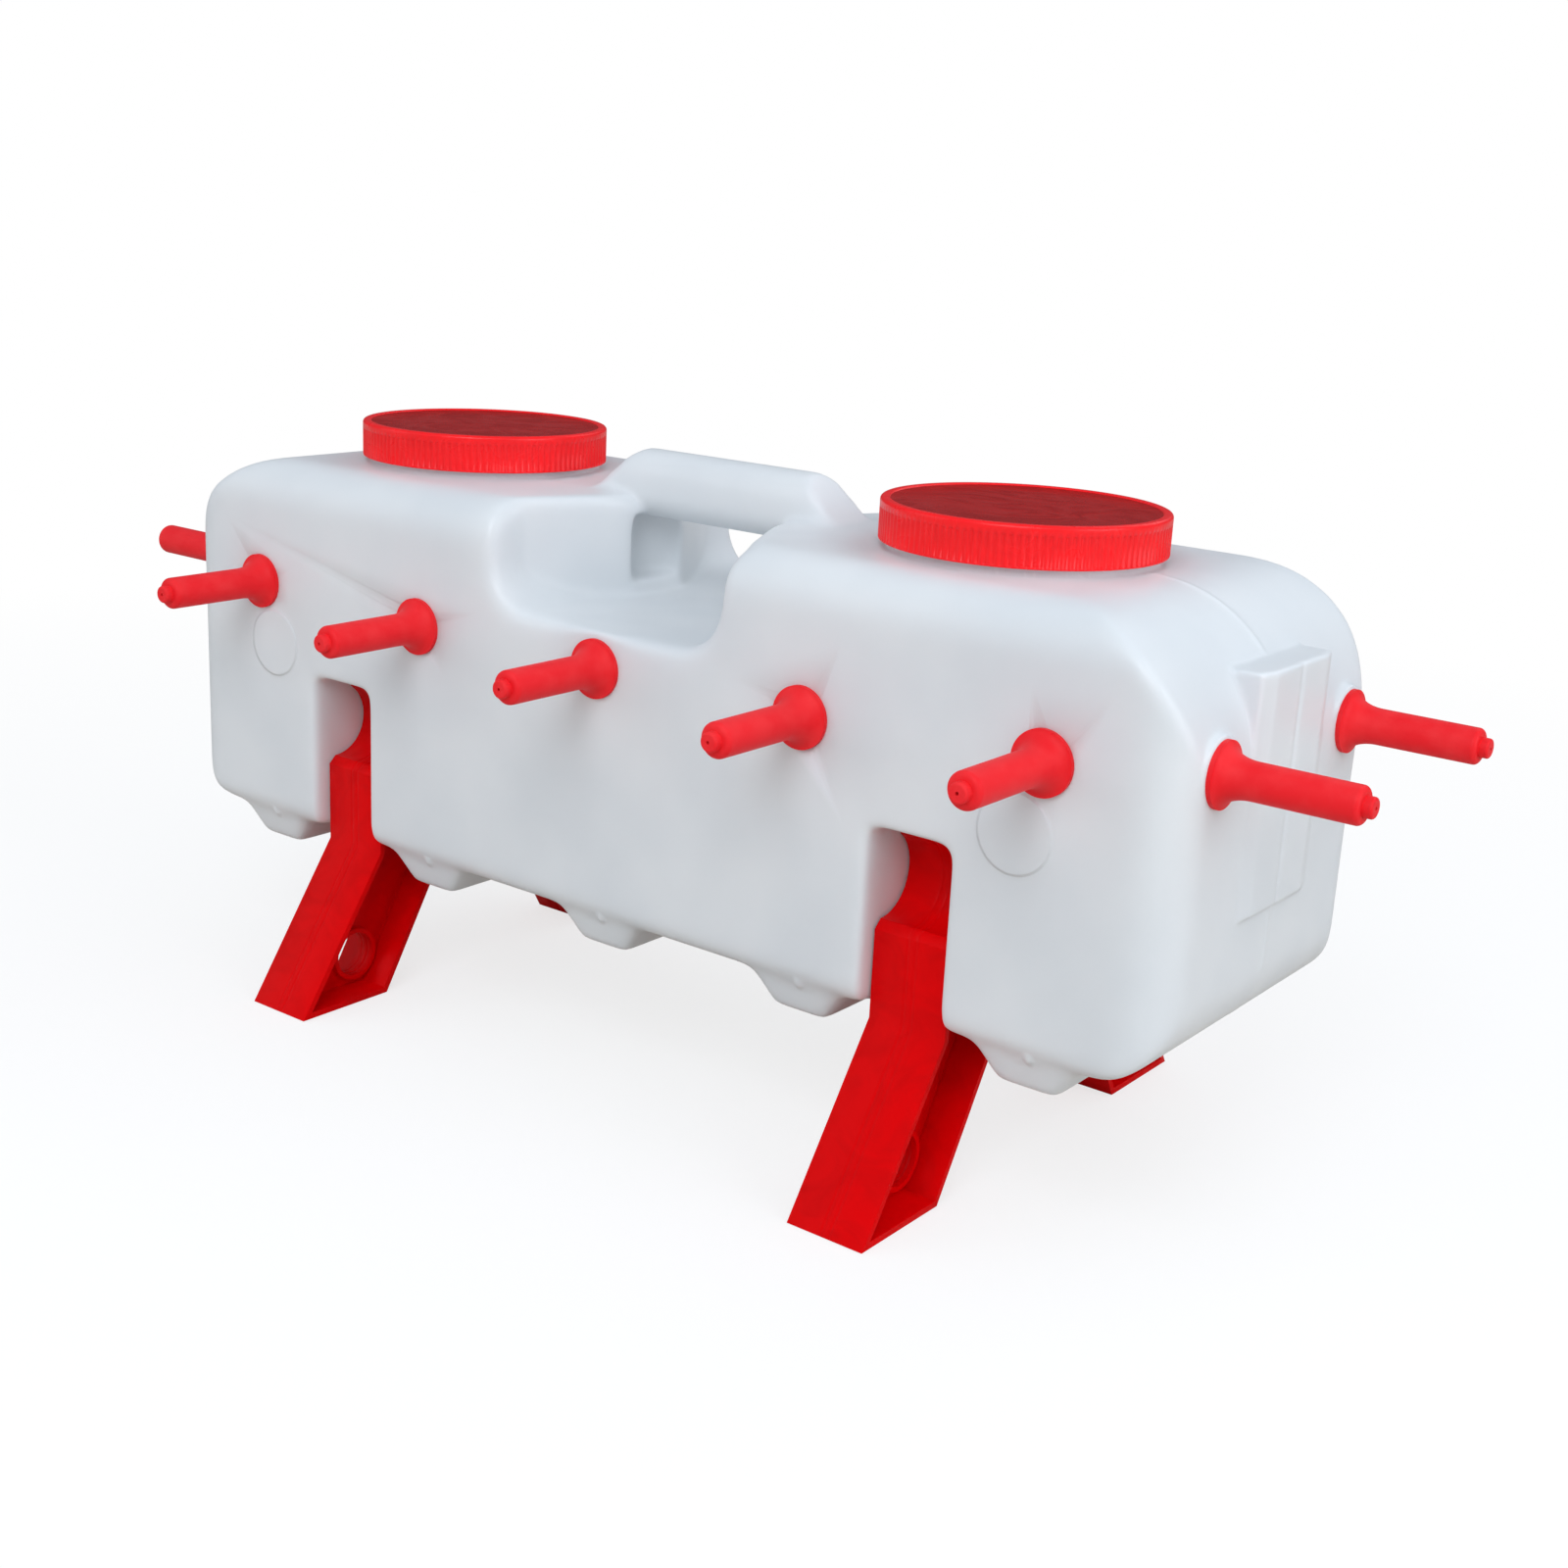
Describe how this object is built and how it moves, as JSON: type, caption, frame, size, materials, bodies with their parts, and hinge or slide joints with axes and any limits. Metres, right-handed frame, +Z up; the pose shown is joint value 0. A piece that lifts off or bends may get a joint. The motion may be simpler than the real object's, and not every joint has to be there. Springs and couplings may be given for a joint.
{
  "type": "multi teat lamb feeder",
  "caption": "Milk feeder for lambs: a long moulded tank on splayed drop-out legs, with screw lids, a carry handle over a saddle and rubber teats all round.",
  "frame": {"origin": "on the ground, under the middle of the tank", "axes": "+X along the tank toward its right end seen from the front, -Y out of the front, +Z up"},
  "size_m": [0.916, 0.392, 0.3777],
  "materials": {
    "tank_hdpe": "milky blow-moulded plastic with a soft sheen",
    "lid_red": "glossy moulded plastic",
    "leg_red": "satin moulded plastic",
    "teat_rubber": "matte natural rubber",
    "valve_rubber": "matte",
    "tube_clear": "stiff translucent tube",
    "seal_foam": "matte"
  },
  "bodies": {
    "tank": {"tank_left": "tank_hdpe", "tank_middle": "tank_hdpe", "tank_right": "tank_hdpe", "grip": "tank_hdpe", "teat_front_1": "teat_rubber", "teat_front_2": "teat_rubber", "teat_front_3": "teat_rubber", "teat_front_4": "teat_rubber", "teat_front_5": "teat_rubber", "teat_back_1": "teat_rubber", "teat_back_2": "teat_rubber", "teat_back_3": "teat_rubber", "teat_back_4": "teat_rubber", "teat_back_5": "teat_rubber", "teat_left_front": "teat_rubber", "teat_left_back": "teat_rubber", "teat_right_front": "teat_rubber", "teat_right_back": "teat_rubber", "valve_front_1": "valve_rubber", "valve_front_2": "valve_rubber", "valve_front_3": "valve_rubber", "valve_front_4": "valve_rubber", "valve_front_5": "valve_rubber", "valve_back_1": "valve_rubber", "valve_back_2": "valve_rubber", "valve_back_3": "valve_rubber", "valve_back_4": "valve_rubber", "valve_back_5": "valve_rubber", "valve_left_front": "valve_rubber", "valve_left_back": "valve_rubber", "valve_right_front": "valve_rubber", "valve_right_back": "valve_rubber", "tube_front_1": "tube_clear", "tube_front_2": "tube_clear", "tube_front_3": "tube_clear", "tube_front_4": "tube_clear", "tube_front_5": "tube_clear", "tube_back_1": "tube_clear", "tube_back_2": "tube_clear", "tube_back_3": "tube_clear", "tube_back_4": "tube_clear", "tube_back_5": "tube_clear", "tube_left_front": "tube_clear", "tube_left_back": "tube_clear", "tube_right_front": "tube_clear", "tube_right_back": "tube_clear"},
    "seal_left": {"seal_left": "seal_foam"},
    "lid_left": {"lid_left": "lid_red"},
    "seal_right": {"seal_right": "seal_foam"},
    "lid_right": {"lid_right": "lid_red"},
    "leg_front_left": {"leg_front_left": "leg_red"},
    "leg_front_right": {"leg_front_right": "leg_red"},
    "leg_back_left": {"leg_back_left": "leg_red"},
    "leg_back_right": {"leg_back_right": "leg_red"}
  },
  "joints": [
    {"name": "lid_left_lift", "type": "slide", "parent": "tank", "child": "seal_left", "axis": [0, 0, 1], "range_m": [0, 0.06]},
    {"name": "lid_left_turn", "type": "hinge", "parent": "seal_left", "child": "lid_left", "pos_m": [-0.2105, 0, 0.366], "axis": [0, 0, 1], "range_deg": [0, 540]},
    {"name": "lid_right_lift", "type": "slide", "parent": "tank", "child": "seal_right", "axis": [0, 0, 1], "range_m": [0, 0.06]},
    {"name": "lid_right_turn", "type": "hinge", "parent": "seal_right", "child": "lid_right", "pos_m": [0.2105, 0, 0.366], "axis": [0, 0, 1], "range_deg": [0, 540]},
    {"name": "leg_front_left_drop", "type": "slide", "parent": "tank", "child": "leg_front_left", "axis": [0, 0, -1], "range_m": [0, 0.125]},
    {"name": "leg_front_right_drop", "type": "slide", "parent": "tank", "child": "leg_front_right", "axis": [0, 0, -1], "range_m": [0, 0.125]},
    {"name": "leg_back_left_drop", "type": "slide", "parent": "tank", "child": "leg_back_left", "axis": [0, 0, -1], "range_m": [0, 0.125]},
    {"name": "leg_back_right_drop", "type": "slide", "parent": "tank", "child": "leg_back_right", "axis": [0, 0, -1], "range_m": [0, 0.125]}
  ]
}
